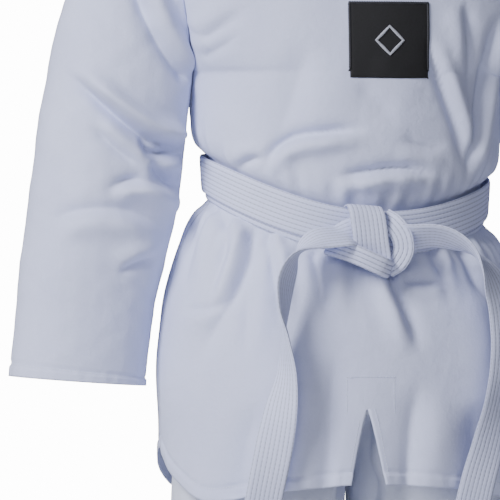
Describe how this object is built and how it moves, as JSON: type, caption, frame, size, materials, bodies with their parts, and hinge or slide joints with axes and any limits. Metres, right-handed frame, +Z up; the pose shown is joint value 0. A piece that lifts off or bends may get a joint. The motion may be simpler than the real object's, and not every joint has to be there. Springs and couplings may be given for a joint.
{
  "type": "martial arts uniform",
  "caption": "Pullover martial arts jacket with a tied double-wrapped belt and loose trousers, standing in the shape of its wearer.",
  "frame": {"origin": "middle of the neck base, level with the neck ends of the shoulder seams", "axes": "+Z up, +X towards the wearer's left, the front of the uniform faces -Y"},
  "size_m": [0.736, 0.3123, 1.381],
  "materials": {
    "jacket_cloth": "matte woven cotton blend",
    "trouser_cloth": "matte woven cotton blend",
    "belt": "matte cotton with rows of stitching",
    "patch": "matte woven label",
    "motif": "satin embroidery",
    "label": "satin ribbon",
    "elastic": "ribbed elastic",
    "eyelet": "nickel"
  },
  "bodies": {
    "jacket": {"front_panel": "jacket_cloth", "back_panel": "jacket_cloth", "collar_right": "jacket_cloth", "collar_left": "jacket_cloth", "slit_stay": "jacket_cloth", "neck_label": "label", "chest_patch": "patch", "patch_motif": "motif", "belt_inner_wrap": "belt", "belt_outer_wrap": "belt", "knot_core": "belt", "knot_front_band": "belt", "knot_lower_loop": "belt", "knot_right_loop": "belt", "waistband": "trouser_cloth", "waist_elastic": "elastic", "drawcord_eyelet_right": "eyelet", "drawcord_eyelet_left": "eyelet", "trouser_front_right": "trouser_cloth", "trouser_front_left": "trouser_cloth", "trouser_back_right": "trouser_cloth", "trouser_back_left": "trouser_cloth"},
    "right_sleeve": {"right_sleeve": "jacket_cloth"},
    "left_sleeve": {"left_sleeve": "jacket_cloth"},
    "back_skirt": {"back_skirt": "jacket_cloth"},
    "right_tail": {"belt_tail_right": "belt"},
    "left_tail": {"belt_tail_left": "belt"},
    "right_shin": {"lower_leg_right": "trouser_cloth"},
    "left_shin": {"lower_leg_left": "trouser_cloth"}
  },
  "joints": [
    {"name": "right_sleeve_raise", "type": "hinge", "parent": "jacket", "child": "right_sleeve", "pos_m": [-0.213, 0, -0.05], "axis": [0, 1, 0], "range_deg": [0, 60]},
    {"name": "left_sleeve_raise", "type": "hinge", "parent": "jacket", "child": "left_sleeve", "pos_m": [0.213, 0, -0.05], "axis": [0, -1, 0], "range_deg": [0, 60]},
    {"name": "back_skirt_lift", "type": "hinge", "parent": "jacket", "child": "back_skirt", "pos_m": [0, 0.1095, -0.396], "axis": [1, 0, 0], "range_deg": [0, 30]},
    {"name": "right_tail_swing", "type": "hinge", "parent": "jacket", "child": "right_tail", "pos_m": [-0.034, -0.134, -0.4], "axis": [-1, 0, 0], "range_deg": [0, 55]},
    {"name": "left_tail_swing", "type": "hinge", "parent": "jacket", "child": "left_tail", "pos_m": [0.048, -0.13, -0.4], "axis": [-1, 0, 0], "range_deg": [0, 55]},
    {"name": "right_knee_bend", "type": "hinge", "parent": "jacket", "child": "right_shin", "pos_m": [-0.106, 0.087, -0.9306], "axis": [1, 0, 0], "range_deg": [0, 90]},
    {"name": "left_knee_bend", "type": "hinge", "parent": "jacket", "child": "left_shin", "pos_m": [0.106, 0.087, -0.9306], "axis": [1, 0, 0], "range_deg": [0, 90]}
  ]
}
